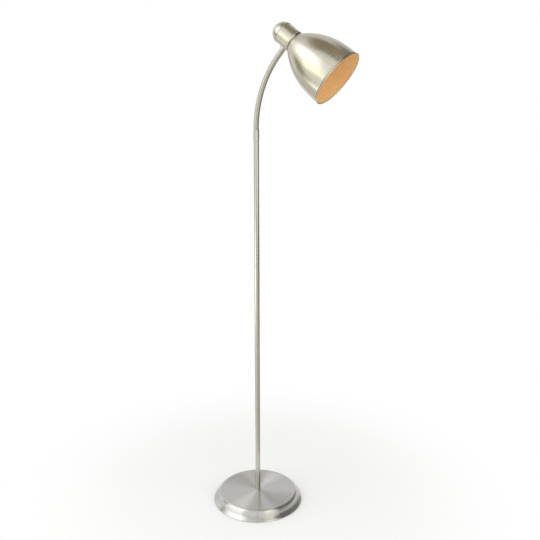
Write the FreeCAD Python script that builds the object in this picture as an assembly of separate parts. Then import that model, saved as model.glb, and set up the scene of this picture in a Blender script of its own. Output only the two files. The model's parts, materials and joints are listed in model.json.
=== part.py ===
import FreeCAD, Part
import math
import os

# Gooseneck reading floor lamp in satin nickel.
# Millimetres, +Z up. The origin is the centre of the foot's underside, on the pole's axis,
# and the gooseneck leans toward +X. Every piece is written to parts/NAME.step.

# ---- Driving dimensions: foot ------------------------------------------------------------
foot_radius = 115.0
plate_radius = 92.5
plate_height = 26.0
shoulder_middle_radius = 99.0
shoulder_middle_drop = 1.5
shoulder_radius = 102.6
shoulder_drop = 5.8
step_radius = 105.0
step_height = 10.2
step_ledge = 1.4
step_round_out = 0.56
step_round_drop = 0.42
flare_radius = 113.6
flare_height = 3.6
skirt_edge_height = 1.5
skirt_clearance = 0.8
cover_wall = 1.0
cover_slope_wall = 1.4
cover_slope_drop = 0.5
shoulder_wall_in = 0.55
shoulder_wall_drop = 0.84
shoulder_foot_in = 0.93
shoulder_foot_drop = 0.38
pad_thickness = 2.0
pad_radius = 99.0
weight_radius = 99.0
weight_shoulder_radius = 66.0
weight_shoulder_height = 11.0
weight_chamfer = 2.0
nut_recess_radius = 22.0
nut_recess_height = 14.0
cord_channel_width = 10.0
cord_channel_height = 13.0
grommet_height = 5.9
grommet_radius = 3.6
grommet_bore_radius = 3.0
grommet_inner_end = 101.0
grommet_outer_end = 112.6
grommet_flange_radius = 4.5
grommet_flange_thickness = 1.2

# ---- Driving dimensions: pole and its threaded joints ------------------------------------
pole_radius = 6.35
pole_bore_radius = 5.0
pole_edge_chamfer = 0.35
section_length = 310.0
upper_section_length = 303.6
thread_radius = 5.0
thread_bore_radius = 3.5
thread_clearance = 0.2
coupling_length = 30.0
stem_engagement = 18.0
stem_bottom = 5.0
washer_radius = 11.0
washer_thickness = 1.6
lock_washer_radius = 8.6
lock_washer_thickness = 1.6
lock_washer_split = 1.2
nut_across_flats = 14.0
nut_thickness = 5.5
nut_sides = 6
ferrule_radius = 6.8
ferrule_length = 27.0
ferrule_chamfer = 0.6
ferrule_spigot = 15.0
ferrule_socket_radius = 4.6
ferrule_socket_depth = 10.0

# ---- Driving dimensions: gooseneck -------------------------------------------------------
rib_pitch = 4.2
ribs_per_link = 4
ribs_per_end = 2
rib_crest_radius = 6.25
rib_root_radius = 5.35
rib_flank = 0.9
link_count = 11
first_link_lean = 3.5
lean_step = 3.5
head_lean = 34.3
lip_radius = 4.4
lip_height = 1.9
mouth_radius = 4.5
mouth_depth = 2.9
throat_depth = 4.3
neck_bore_radius = 3.1
largest_turn = 15.5
face_clearance = 0.15

# ---- Driving dimensions: head ------------------------------------------------------------
saddle_radius = 7.8
saddle_height = 2.9
tail_length = 6.5
neck_nut_thickness = 4.0
neck_nut_turn = 30.0
collar_radius = 24.5
collar_wall = 0.9
collar_back = -19.5
collar_front = 9.5
bulkhead_thickness = 1.2
holder_hole_radius = 20.0
dome_radius = 24.6
dome_height = 20.7
dome_wall = 0.9
lip_ring_radius = 25.2
lip_ring_thickness = 1.3
dome_spigot_radius = 23.5
dome_spigot_length = 5.0
trim_ring_thickness = 5.0
trim_ring_edge_radius = 24.3
trim_ring_radius = 25.4
shade_wall = 0.8
shade_virtual_start = 10.25
shade_virtual_radius = 18.5
shade_end = 142.6
shade_end_radius = 66.6
shade_power = 2.6
shade_stations = 6
shade_station_growth = 1.5
rim_bead_radius = 1.4
rim_centre_radius = 66.7
rim_centre_height = 143.5

# ---- Driving dimensions: lampholder and bulb ---------------------------------------------
holder_radius = 19.6
holder_flange_radius = 22.8
holder_flange_thickness = 1.2
holder_front = 46.0
holder_front_radius = 17.8
holder_taper_start = 23.0
holder_floor = 14.0
holder_bore_radius = 14.4
holder_cap_radius = 16.5
holder_cap_back = -13.0
holder_cap_back_radius = 12.5
holder_cap_wall = 1.6
wire_entry_radius = 5.0
shade_ring_thickness = 4.0
shade_ring_radius = 21.6
shade_ring_notches = 8
shade_ring_notch_width = 2.4
shell_wall = 0.7
shell_start = 15.0
shell_end = 44.0
centre_contact_radius = 3.6
centre_contact_height = 2.2
terminal_offset = 9.0
terminal_radius = 2.2
terminal_height = 3.0
terminal_slot_width = 0.7
terminal_slot_depth = 0.9
bulb_cap_radius = 13.1
bulb_cap_start = 20.0
bulb_cap_end = 41.5
bulb_neck_radius = 12.3
bulb_contact_radius = 4.6
bulb_contact_thickness = 1.3
bulb_radius = 22.5
bulb_centre = 68.0
bulb_neck_end = 44.0
bulb_bend_radius = 13.06
bulb_bend_height = 48.2
bulb_shoulder_radius = 15.0
bulb_glass_wall = 0.8

# ---- Places worked out from the driving dimensions ---------------------------------------
ORIGIN = FreeCAD.Vector(0, 0, 0)
UP = FreeCAD.Vector(0, 0, 1)
ACROSS = FreeCAD.Vector(0, 1, 0)

lower_joint = plate_height + section_length
middle_joint = lower_joint + section_length
pole_top = middle_joint + upper_section_length
ferrule_top = pole_top + ferrule_length
link_length = rib_pitch * ribs_per_link
end_length = rib_pitch * ribs_per_end
neck_end_distance = collar_radius + saddle_height + end_length


def link_lean(index):
    """Lean of a gooseneck link from the vertical, in degrees; index 0 is the lowest link."""
    return first_link_lean + lean_step * index


def lean_direction(degrees):
    """Unit vector that leans from the vertical toward +X."""
    angle = math.radians(degrees)
    return FreeCAD.Vector(math.sin(angle), 0, math.cos(angle))


def neck_pivots():
    """Points about which the gooseneck's links turn, from the pole to the head."""
    points = [FreeCAD.Vector(0, 0, ferrule_top + end_length)]
    for index in range(link_count):
        points.append(points[-1] + lean_direction(link_lean(index)) * link_length)
    return points


def leaning(shape, foot, degrees):
    """Stands a shape made on the Z axis on a point of the neck, with the neck's lean there."""
    shape.Placement = FreeCAD.Placement(foot, FreeCAD.Rotation(ACROSS, degrees))
    return shape


def on_head(shape):
    """Moves a shape made on the Z axis onto the shade's axis; local -X faces the gooseneck."""
    toward_neck_end = lean_direction(head_lean)
    shade_axis = lean_direction(head_lean + 90)
    centre = neck_pivots()[-1] + toward_neck_end * neck_end_distance
    sideways = shade_axis.cross(toward_neck_end)
    turn = FreeCAD.Rotation(toward_neck_end, sideways, shade_axis, "ZXY")
    shape.Placement = FreeCAD.Placement(centre, turn)
    return shape


# ---- Ways of making a shape --------------------------------------------------------------
def point(radius, height):
    """Point of a turned profile."""
    return FreeCAD.Vector(radius, 0, height)


def line(start, end):
    """Straight edge between two profile points given as (radius, height)."""
    return Part.LineSegment(point(*start), point(*end)).toShape()


def arc(start, middle, end):
    """Round edge through three profile points given as (radius, height)."""
    return Part.Arc(point(*start), point(*middle), point(*end)).toShape()


def arcs(points):
    """Chain of arcs, each through three of the points given as (radius, height)."""
    starts = range(0, len(points) - 2, 2)
    return [arc(points[start], points[start + 1], points[start + 2]) for start in starts]


def outline(corners):
    """Edges of a closed profile with straight sides."""
    return [line(start, end) for start, end in zip(corners, corners[1:] + corners[:1])]


def turned(edges):
    """Solid turned about the Z axis from the edges of a closed profile."""
    face = Part.Face(Part.Wire(Part.__sortEdges__(edges)))
    return face.revolve(ORIGIN, UP, 360)


def rod(radius, bottom, top):
    """Round bar on the Z axis."""
    return Part.makeCylinder(radius, top - bottom, FreeCAD.Vector(0, 0, bottom))


def sleeve(outer, inner, bottom, top):
    """Round tube on the Z axis."""
    return rod(outer, bottom, top).cut(rod(inner, bottom, top))


def hex_bar(across_flats, bottom, top):
    """Hexagonal bar on the Z axis."""
    corner_radius = across_flats / 2 / math.cos(math.pi / nut_sides)
    corners = []
    for corner in range(nut_sides + 1):
        angle = 2 * math.pi * corner / nut_sides
        x = corner_radius * math.cos(angle)
        y = corner_radius * math.sin(angle)
        corners.append(FreeCAD.Vector(x, y, bottom))
    face = Part.Face(Part.makePolygon(corners))
    return face.extrude(UP * (top - bottom))


def ruled_stack(levels):
    """Solid with straight sides through circles on the Z axis, given as (radius, height)."""
    circles = [Part.Wire(Part.makeCircle(radius, UP * height, UP)) for radius, height in levels]
    return Part.makeLoft(circles, True, True)


# ---- Foot --------------------------------------------------------------------------------
def floor_pad():
    """Felt disc glued under the weight; the lamp stands on it."""
    return rod(pad_radius, 0, pad_thickness)


def base_weight():
    """Cast iron disc with a recess for the nut and a channel for the lead at the back."""
    underside = plate_height - cover_wall
    corners = [
        (0, pad_thickness),
        (weight_radius, pad_thickness),
        (weight_radius, weight_shoulder_height),
        (weight_shoulder_radius, weight_shoulder_height),
        (weight_shoulder_radius, underside - weight_chamfer),
        (weight_shoulder_radius - weight_chamfer, underside),
        (0, underside),
    ]
    disc = turned(outline(corners))
    recess = rod(nut_recess_radius, pad_thickness, nut_recess_height)
    stem_hole = rod(thread_radius + thread_clearance, pad_thickness, underside)
    corner = FreeCAD.Vector(-cord_channel_width / 2, 0, pad_thickness)
    channel = Part.makeBox(cord_channel_width, foot_radius, cord_channel_height - pad_thickness, corner)
    return disc.cut(recess).cut(stem_hole).cut(channel)


def cover_outside():
    """Points of the cover's outer profile, from the plate's edge down to the floor."""
    ledge_radius = step_radius + step_ledge
    return [
        (plate_radius, plate_height),
        (shoulder_middle_radius, plate_height - shoulder_middle_drop),
        (shoulder_radius, plate_height - shoulder_drop),
        (step_radius, step_height),
        (ledge_radius, step_height - step_round_drop),
        (ledge_radius + step_round_out, step_height - step_ledge),
        (flare_radius, flare_height),
        (foot_radius, skirt_edge_height),
        (foot_radius, skirt_clearance),
    ]


def base_cover():
    """Spun steel cover: plate, shoulder a touch proud of it, steep wall, step and flared skirt."""
    outside = cover_outside()
    edge_start, edge_middle, edge_end = outside[:3]
    step_top, step_middle, step_bottom = outside[3:6]
    flare_start, flare_end, foot_edge = outside[6:]
    inner_plate = plate_height - cover_wall
    stem_hole_radius = thread_radius + thread_clearance
    inner_shoulder_start = (plate_radius, inner_plate)
    inner_shoulder_middle = (edge_middle[0] - shoulder_wall_in, edge_middle[1] - shoulder_wall_drop)
    inner_shoulder_end = (edge_end[0] - shoulder_foot_in, edge_end[1] - shoulder_foot_drop)
    inside = [
        (foot_radius - cover_slope_wall, skirt_clearance),
        (flare_start[0] - cover_slope_wall, flare_start[1]),
        (step_bottom[0] - cover_slope_wall, step_bottom[1] - cover_slope_drop),
        (step_top[0] - cover_slope_wall, step_top[1] - cover_slope_drop),
        inner_shoulder_end,
    ]
    edges = [
        line((stem_hole_radius, plate_height), edge_start),
        arc(edge_start, edge_middle, edge_end),
        line(edge_end, step_top),
        arc(step_top, step_middle, step_bottom),
        line(step_bottom, flare_start),
        line(flare_start, flare_end),
        line(flare_end, foot_edge),
        line(foot_edge, inside[0]),
    ]
    edges += [line(start, end) for start, end in zip(inside, inside[1:])]
    edges += [
        arc(inner_shoulder_end, inner_shoulder_middle, inner_shoulder_start),
        line(inner_shoulder_start, (stem_hole_radius, inner_plate)),
        line((stem_hole_radius, inner_plate), (stem_hole_radius, plate_height)),
    ]
    hole = Part.makeCylinder(grommet_radius, foot_radius, FreeCAD.Vector(0, 0, grommet_height), ACROSS)
    return turned(edges).cut(hole)


def cord_grommet():
    """Rubber bush in the back of the skirt, where the lead leaves the foot."""
    length = grommet_outer_end - grommet_inner_end
    start = FreeCAD.Vector(0, grommet_inner_end, grommet_height)
    body = Part.makeCylinder(grommet_radius, length, start, ACROSS)
    flange = Part.makeCylinder(grommet_flange_radius, grommet_flange_thickness, start, ACROSS)
    bore = Part.makeCylinder(grommet_bore_radius, length, start, ACROSS)
    return body.fuse(flange).cut(bore).removeSplitter()


def stem_nipple():
    """Hollow threaded stem that clamps the pole, the cover and the weight together."""
    return sleeve(thread_radius, thread_bore_radius, stem_bottom, plate_height + stem_engagement)


def stem_washer():
    """Plain washer against the roof of the weight's recess."""
    bottom = nut_recess_height - washer_thickness
    return sleeve(washer_radius, thread_radius + thread_clearance, bottom, nut_recess_height)


def stem_lock_washer():
    """Split spring washer under the plain washer."""
    top = nut_recess_height - washer_thickness
    ring = sleeve(lock_washer_radius, thread_radius + thread_clearance, top - lock_washer_thickness, top)
    corner = FreeCAD.Vector(0, -lock_washer_split / 2, top - lock_washer_thickness)
    split = Part.makeBox(lock_washer_radius, lock_washer_split, lock_washer_thickness, corner)
    return ring.cut(split)


def stem_nut():
    """Hexagonal nut that draws the stem tight from below."""
    top = nut_recess_height - washer_thickness - lock_washer_thickness
    bar = hex_bar(nut_across_flats, top - nut_thickness, top)
    return bar.cut(rod(thread_radius, top - nut_thickness, top))


# ---- Pole --------------------------------------------------------------------------------
def pole_section(bottom, top):
    """Steel tube with lightly broken edges, tapped at both ends for the hollow couplings."""
    broken = pole_radius - pole_edge_chamfer
    levels = [
        (broken, bottom),
        (pole_radius, bottom + pole_edge_chamfer),
        (pole_radius, top - pole_edge_chamfer),
        (broken, top),
    ]
    return ruled_stack(levels).cut(rod(pole_bore_radius, bottom, top))


def pole_coupling(joint_height):
    """Hollow threaded rod, half in each of two pole sections."""
    half = coupling_length / 2
    return sleeve(thread_radius, thread_bore_radius, joint_height - half, joint_height + half)


def neck_ferrule():
    """Turned sleeve screwed into the pole's top, with a socket for the gooseneck's foot."""
    broken = ferrule_radius - ferrule_chamfer
    levels = [
        (broken, pole_top),
        (ferrule_radius, pole_top + ferrule_chamfer),
        (ferrule_radius, ferrule_top - ferrule_chamfer),
        (broken, ferrule_top),
    ]
    body = ruled_stack(levels).fuse(rod(thread_radius, pole_top - ferrule_spigot, pole_top))
    bore = rod(thread_bore_radius, pole_top - ferrule_spigot, ferrule_top)
    socket = rod(ferrule_socket_radius, ferrule_top - ferrule_socket_depth, ferrule_top)
    return body.cut(bore).cut(socket)


# ---- Gooseneck ---------------------------------------------------------------------------
def face_relief(radius):
    """Distance of a link's end face from its pivot, so that two links can turn freely."""
    return face_clearance + radius * math.tan(math.radians(largest_turn / 2))


def rib_levels(count):
    """Circles of a ribbed tube from height 0: each rib has four, its last being the next one's first."""
    levels = [(rib_root_radius, 0)]
    for index in range(count):
        bottom = index * rib_pitch
        top = bottom + rib_pitch
        levels += [
            (rib_crest_radius, bottom + rib_flank),
            (rib_crest_radius, top - rib_flank),
            (rib_root_radius, top),
        ]
    return levels


def mouth_levels():
    """Relieved lower face of a link, round the mouth that takes the lip of the link below."""
    return [(mouth_radius, face_relief(mouth_radius)), (rib_crest_radius, face_relief(rib_crest_radius))]


def lip_levels(length):
    """Relieved upper face of a link, round the foot of its lip."""
    foot = lip_radius - face_clearance
    crest_height = length - face_relief(rib_crest_radius)
    return [(rib_crest_radius, crest_height), (foot, length - face_relief(foot))]


def rounded_lip(length):
    """Rounded lip, centred on the upper pivot, that seats in the mouth of the next link."""
    ball = Part.makeSphere(lip_radius, UP * length)
    return ball.common(rod(2 * lip_radius, length - face_relief(lip_radius), length + lip_height))


def mouth_hollow():
    """Room inside a link's lower end for the lip of the link below."""
    return rod(mouth_radius, 0, mouth_depth).fuse(
        Part.makeCone(mouth_radius, neck_bore_radius, throat_depth - mouth_depth, UP * mouth_depth)
    )


def neck_root():
    """Foot of the gooseneck, pressed into the ferrule."""
    levels = rib_levels(ribs_per_end)[:-2] + lip_levels(end_length)
    body = ruled_stack(levels).fuse(rounded_lip(end_length))
    body = body.fuse(rod(ferrule_socket_radius, -ferrule_socket_depth, 0))
    bore = rod(neck_bore_radius, -ferrule_socket_depth, end_length + lip_height)
    return leaning(body.cut(bore), UP * ferrule_top, 0)


def neck_link(index):
    """One link of the gooseneck: a few turns of its wound wall that stay rigid together."""
    levels = mouth_levels() + rib_levels(ribs_per_link)[2:-2] + lip_levels(link_length)
    body = ruled_stack(levels).fuse(rounded_lip(link_length))
    bore = rod(neck_bore_radius, 0, link_length + lip_height)
    return leaning(body.cut(bore).cut(mouth_hollow()), neck_pivots()[index], link_lean(index))


def neck_end():
    """Top of the gooseneck, with the hollow threaded tail that enters the collar."""
    levels = mouth_levels() + rib_levels(ribs_per_end)[2:]
    tail_end = end_length + saddle_height + tail_length
    body = ruled_stack(levels).fuse(rod(thread_radius, end_length, tail_end))
    bore = rod(neck_bore_radius, 0, tail_end)
    return leaning(body.cut(bore).cut(mouth_hollow()), neck_pivots()[-1], head_lean)


# ---- Head: collar, cap and shade ---------------------------------------------------------
def toward_neck(radius, near, far):
    """Round bar that points from the shade's axis toward the gooseneck."""
    return Part.makeCylinder(radius, far - near, FreeCAD.Vector(-near, 0, 0), FreeCAD.Vector(-1, 0, 0))


def neck_saddle():
    """Round seat between the gooseneck and the collar, hollowed to fit the collar's side."""
    disc = toward_neck(saddle_radius, collar_radius - saddle_height, collar_radius + saddle_height)
    hole = toward_neck(thread_radius, 0, collar_radius + saddle_height)
    return on_head(disc.cut(hole).cut(rod(collar_radius, collar_back, collar_front)))


def neck_lock_nut():
    """Nut inside the collar, with its seat rounded to the collar's bore."""
    bore_radius = collar_radius - collar_wall
    bar = hex_bar(nut_across_flats, bore_radius - neck_nut_thickness, collar_radius)
    bar.rotate(ORIGIN, UP, neck_nut_turn)
    bar.rotate(ORIGIN, ACROSS, -90)
    hole = toward_neck(thread_radius, 0, collar_radius)
    return on_head(bar.cut(hole).common(rod(bore_radius, collar_back, collar_front)))


def head_collar():
    """Drawn steel cup with a bulkhead that the lampholder is clamped to."""
    inner = collar_radius - collar_wall
    corners = [
        (collar_radius, collar_back),
        (collar_radius, collar_front),
        (holder_hole_radius, collar_front),
        (holder_hole_radius, collar_front - bulkhead_thickness),
        (inner, collar_front - bulkhead_thickness),
        (inner, collar_back),
    ]
    neck_hole = toward_neck(thread_radius, 0, collar_radius + saddle_height)
    return on_head(turned(outline(corners)).cut(neck_hole))


def dome_cap():
    """Spun dome with a small lip, pushed into the back of the collar."""
    edge = collar_back - lip_ring_thickness
    apex = edge - dome_height
    sphere = (dome_radius**2 + dome_height**2) / (2 * dome_height)
    inner_sphere = sphere - dome_wall
    centre = apex + sphere
    lean = math.asin(dome_radius / sphere) / 2
    spigot_inner = dome_spigot_radius - dome_wall
    inner_edge = centre - math.sqrt(inner_sphere**2 - spigot_inner**2)
    outside = arc(
        (0, apex),
        (sphere * math.sin(lean), centre - sphere * math.cos(lean)),
        (dome_radius, edge),
    )
    inside = arc(
        (spigot_inner, inner_edge),
        (inner_sphere * math.sin(lean), centre - inner_sphere * math.cos(lean)),
        (0, apex + dome_wall),
    )
    spigot_end = collar_back + dome_spigot_length
    edges = [
        outside,
        line((dome_radius, edge), (lip_ring_radius, edge)),
        line((lip_ring_radius, edge), (lip_ring_radius, collar_back)),
        line((lip_ring_radius, collar_back), (dome_spigot_radius, collar_back)),
        line((dome_spigot_radius, collar_back), (dome_spigot_radius, spigot_end)),
        line((dome_spigot_radius, spigot_end), (spigot_inner, spigot_end)),
        line((spigot_inner, spigot_end), (spigot_inner, inner_edge)),
        inside,
        line((0, apex + dome_wall), (0, apex)),
    ]
    return on_head(turned(edges))


def trim_ring():
    """Beaded spacer ring between the collar and the shade."""
    front = collar_front + trim_ring_thickness
    edges = [
        line((holder_hole_radius, collar_front), (trim_ring_edge_radius, collar_front)),
        arc(
            (trim_ring_edge_radius, collar_front),
            (trim_ring_radius, (collar_front + front) / 2),
            (trim_ring_edge_radius, front),
        ),
        line((trim_ring_edge_radius, front), (holder_hole_radius, front)),
        line((holder_hole_radius, front), (holder_hole_radius, collar_front)),
    ]
    return on_head(turned(edges))


def bell_radius(height):
    """Outer radius of the bell: it opens fast at the neck and runs nearly straight at the mouth."""
    share = (height - shade_virtual_start) / (shade_end - shade_virtual_start)
    spread = shade_end_radius - shade_virtual_radius
    return shade_virtual_radius + spread * (1 - (1 - share) ** shade_power)


def bell_slope(height):
    """Growth of the bell's radius for each millimetre along its axis."""
    length = shade_end - shade_virtual_start
    share = (height - shade_virtual_start) / length
    spread = shade_end_radius - shade_virtual_radius
    return spread * shade_power * (1 - share) ** (shade_power - 1) / length


def bell_shade():
    """Spun bell shade, open at the mouth, with a flat neck and a rolled rim."""
    back = collar_front + trim_ring_thickness
    flat_front = back + shade_wall
    outside = []
    inside = []
    for station in range(shade_stations + 1):
        height = back + (shade_end - back) * (station / shade_stations) ** shade_station_growth
        radius = bell_radius(height)
        slope = bell_slope(height)
        lean = math.hypot(1, slope)
        outside.append((radius, height))
        inside.append((radius - shade_wall / lean, height + shade_wall * slope / lean))
    edges = arcs(outside) + arcs(inside)
    edges += [
        line(outside[-1], inside[-1]),
        line(inside[0], (holder_hole_radius, flat_front)),
        line((holder_hole_radius, flat_front), (holder_hole_radius, back)),
        line((holder_hole_radius, back), outside[0]),
    ]
    bead = Part.makeTorus(rim_centre_radius, rim_bead_radius, UP * rim_centre_height)
    return on_head(turned(edges).fuse(bead))


# ---- Head: lampholder and bulb -----------------------------------------------------------
def shade_ring():
    """Notched ring screwed on the lampholder; it clamps the shade, ring and collar."""
    back = collar_front + trim_ring_thickness + shade_wall
    front = back + shade_ring_thickness
    ring = sleeve(shade_ring_radius, holder_radius, back, front)
    depth = (shade_ring_radius - holder_radius) / 2
    for notch in range(shade_ring_notches):
        corner = FreeCAD.Vector(shade_ring_radius - depth, -shade_ring_notch_width / 2, back)
        cutter = Part.makeBox(depth * 2, shade_ring_notch_width, shade_ring_thickness, corner)
        cutter.rotate(ORIGIN, UP, 360 * notch / shade_ring_notches)
        ring = ring.cut(cutter)
    return on_head(ring)


def lampholder_body():
    """Moulded lampholder: flange behind the bulkhead and a hollow skirt into the shade."""
    flange_front = collar_front - bulkhead_thickness
    flange_back = flange_front - holder_flange_thickness
    corners = [
        (0, flange_back),
        (holder_flange_radius, flange_back),
        (holder_flange_radius, flange_front),
        (holder_radius, flange_front),
        (holder_radius, holder_taper_start),
        (holder_front_radius, holder_front),
        (holder_bore_radius, holder_front),
        (holder_bore_radius, holder_floor),
        (0, holder_floor),
    ]
    return on_head(turned(outline(corners)))


def lampholder_cap():
    """Moulded cup over the terminals, with a hole for the wires."""
    front = collar_front - bulkhead_thickness - holder_flange_thickness
    floor = holder_cap_back + holder_cap_wall
    corners = [
        (wire_entry_radius, holder_cap_back),
        (holder_cap_back_radius, holder_cap_back),
        (holder_cap_radius, floor + holder_cap_wall),
        (holder_cap_radius, front),
        (holder_cap_radius - holder_cap_wall, front),
        (holder_cap_radius - holder_cap_wall, floor + holder_cap_wall),
        (holder_cap_back_radius - holder_cap_wall, floor),
        (wire_entry_radius, floor),
    ]
    return on_head(turned(outline(corners)))


def lampholder_shell():
    """Brass screw shell that the bulb's cap turns into."""
    return on_head(sleeve(holder_bore_radius, holder_bore_radius - shell_wall, shell_start, shell_end))


def lampholder_contact():
    """Sprung brass contact in the middle of the lampholder's floor."""
    top_radius = centre_contact_radius / 2
    cone = Part.makeCone(centre_contact_radius, top_radius, centre_contact_height, UP * holder_floor)
    return on_head(cone)


def terminal_screws():
    """Two slotted brass screws that hold the wires."""
    top = collar_front - bulkhead_thickness - holder_flange_thickness
    bottom = top - terminal_height
    screws = []
    for side in (-1, 1):
        place = FreeCAD.Vector(0, side * terminal_offset, bottom)
        head = Part.makeCylinder(terminal_radius, terminal_height, place)
        corner = place + FreeCAD.Vector(-terminal_radius, -terminal_slot_width / 2, 0)
        slot = Part.makeBox(2 * terminal_radius, terminal_slot_width, terminal_slot_depth, corner)
        screws.append(head.cut(slot))
    return on_head(Part.makeCompound(screws))


def bulb_cap():
    """Screw cap of the bulb, in thin aluminium."""
    return on_head(sleeve(bulb_cap_radius, bulb_neck_radius, bulb_cap_start, bulb_cap_end))


def bulb_insulator():
    """Glass insulator that closes the cap's end, with the contact's seat in its middle."""
    contact_top = holder_floor + centre_contact_height + bulb_contact_thickness
    levels = [
        (bulb_contact_radius, contact_top),
        (bulb_neck_radius, bulb_cap_start),
        (bulb_neck_radius, bulb_cap_start + bulb_contact_thickness),
    ]
    return on_head(ruled_stack(levels))


def bulb_contact():
    """Tinned contact on the bulb's end, against the lampholder's middle contact."""
    bottom = holder_floor + centre_contact_height
    return on_head(rod(bulb_contact_radius, bottom, bottom + bulb_contact_thickness))


def bulb_profile(inset):
    """Edges of the bulb's wall, moved inward by inset: neck, shoulder and globe."""
    radius = bulb_radius - inset
    neck = bulb_neck_radius - inset
    shoulder = bulb_shoulder_radius - inset
    shoulder_height = bulb_centre - math.sqrt(radius**2 - shoulder**2)
    bend = (bulb_bend_radius - inset, bulb_bend_height)
    bottom = bulb_cap_start + bulb_contact_thickness
    edges = [
        line((neck, bottom), (neck, bulb_neck_end)),
        arc((neck, bulb_neck_end), bend, (shoulder, shoulder_height)),
        arc((shoulder, shoulder_height), (radius, bulb_centre), (0, bulb_centre + radius)),
    ]
    return edges, (neck, bottom), (0, bulb_centre + radius)


def bulb_glass():
    """Blown glass globe with its neck in the cap."""
    outside, outer_foot, outer_tip = bulb_profile(0)
    inside, inner_foot, inner_tip = bulb_profile(bulb_glass_wall)
    ends = [line(outer_foot, inner_foot), line(outer_tip, inner_tip)]
    return on_head(turned(outside + inside + ends))


# ---- Assembly ----------------------------------------------------------------------------
def all_parts():
    """Every separate piece of the lamp, by name, from the floor up."""
    parts = {
        "floor_pad": floor_pad(),
        "base_weight": base_weight(),
        "base_cover": base_cover(),
        "cord_grommet": cord_grommet(),
        "stem_nipple": stem_nipple(),
        "stem_washer": stem_washer(),
        "stem_lock_washer": stem_lock_washer(),
        "stem_nut": stem_nut(),
        "pole_lower": pole_section(plate_height, lower_joint),
        "pole_middle": pole_section(lower_joint, middle_joint),
        "pole_upper": pole_section(middle_joint, pole_top),
        "pole_coupling_lower": pole_coupling(lower_joint),
        "pole_coupling_upper": pole_coupling(middle_joint),
        "neck_ferrule": neck_ferrule(),
        "neck_root": neck_root(),
        "neck_end": neck_end(),
        "neck_saddle": neck_saddle(),
        "neck_lock_nut": neck_lock_nut(),
        "head_collar": head_collar(),
        "dome_cap": dome_cap(),
        "trim_ring": trim_ring(),
        "bell_shade": bell_shade(),
        "shade_ring": shade_ring(),
        "lampholder_body": lampholder_body(),
        "lampholder_cap": lampholder_cap(),
        "lampholder_shell": lampholder_shell(),
        "lampholder_contact": lampholder_contact(),
        "terminal_screws": terminal_screws(),
        "bulb_cap": bulb_cap(),
        "bulb_insulator": bulb_insulator(),
        "bulb_contact": bulb_contact(),
        "bulb_glass": bulb_glass(),
    }
    for index in range(link_count):
        parts[f"neck_link_{index + 1:02d}"] = neck_link(index)
    return parts


os.makedirs("parts", exist_ok=True)
for name, shape in all_parts().items():
    shape.exportStep(f"parts/{name}.step")
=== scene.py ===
import json
import math

import bpy
from mathutils import Matrix, Vector


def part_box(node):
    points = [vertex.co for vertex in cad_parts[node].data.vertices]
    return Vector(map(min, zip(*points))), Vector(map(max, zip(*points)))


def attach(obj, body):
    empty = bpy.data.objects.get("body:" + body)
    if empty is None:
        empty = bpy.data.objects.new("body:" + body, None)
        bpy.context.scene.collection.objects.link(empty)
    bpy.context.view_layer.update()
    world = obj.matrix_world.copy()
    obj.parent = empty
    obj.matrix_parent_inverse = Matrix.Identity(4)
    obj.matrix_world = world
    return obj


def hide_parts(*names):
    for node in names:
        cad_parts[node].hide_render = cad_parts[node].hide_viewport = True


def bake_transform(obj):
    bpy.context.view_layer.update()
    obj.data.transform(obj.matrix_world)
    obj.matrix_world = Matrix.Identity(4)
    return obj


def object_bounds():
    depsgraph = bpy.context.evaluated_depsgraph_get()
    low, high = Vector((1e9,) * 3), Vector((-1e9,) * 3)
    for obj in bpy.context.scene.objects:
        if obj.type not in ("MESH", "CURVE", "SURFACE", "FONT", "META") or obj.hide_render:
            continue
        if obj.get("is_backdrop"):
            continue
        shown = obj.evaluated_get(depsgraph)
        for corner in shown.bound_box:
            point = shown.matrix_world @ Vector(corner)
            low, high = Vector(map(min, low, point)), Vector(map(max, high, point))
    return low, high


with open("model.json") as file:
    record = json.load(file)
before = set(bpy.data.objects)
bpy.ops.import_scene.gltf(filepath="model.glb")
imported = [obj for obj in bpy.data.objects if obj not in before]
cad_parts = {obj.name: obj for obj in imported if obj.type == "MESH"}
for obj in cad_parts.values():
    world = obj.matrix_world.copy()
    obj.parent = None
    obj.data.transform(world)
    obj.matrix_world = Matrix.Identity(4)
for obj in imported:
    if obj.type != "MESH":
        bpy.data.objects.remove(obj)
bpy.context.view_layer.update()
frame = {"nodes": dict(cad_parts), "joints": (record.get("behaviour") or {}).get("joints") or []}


# ---- Felt pad ----------------------------------------------------------------------------
# A disc of pressed black felt, glued under the weight, that the whole lamp stands on.
# It stays out of sight under the skirt, but shows when the lamp is tipped over.
def linear(colour):
    """Linear colour with full alpha from an sRGB hex value such as "#C8C4B8"."""
    channels = [int(colour[start:start + 2], 16) / 255 for start in (1, 3, 5)]
    return [c / 12.92 if c <= 0.04045 else ((c + 0.055) / 1.055) ** 2.4 for c in channels] + [1]


def add_node(tree, kind, inputs=(), **settings):
    """Adds a node to a tree, with its settings, its values and the links into it."""
    node = tree.nodes.new(kind)
    for name, value in settings.items():
        setattr(node, name, value)
    for socket, value in dict(inputs).items():
        if isinstance(value, bpy.types.NodeSocket):
            tree.links.new(value, node.inputs[socket])
        else:
            node.inputs[socket].default_value = value
    return node


def new_material(name):
    """An empty material, and its node tree."""
    material = bpy.data.materials.new(name)
    material.use_nodes = True
    material.node_tree.nodes.clear()
    return material, material.node_tree


def finish_material(tree, shader):
    """Joins a shader to the material's output."""
    add_node(tree, "ShaderNodeOutputMaterial", {"Surface": shader.outputs[0]})


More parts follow.
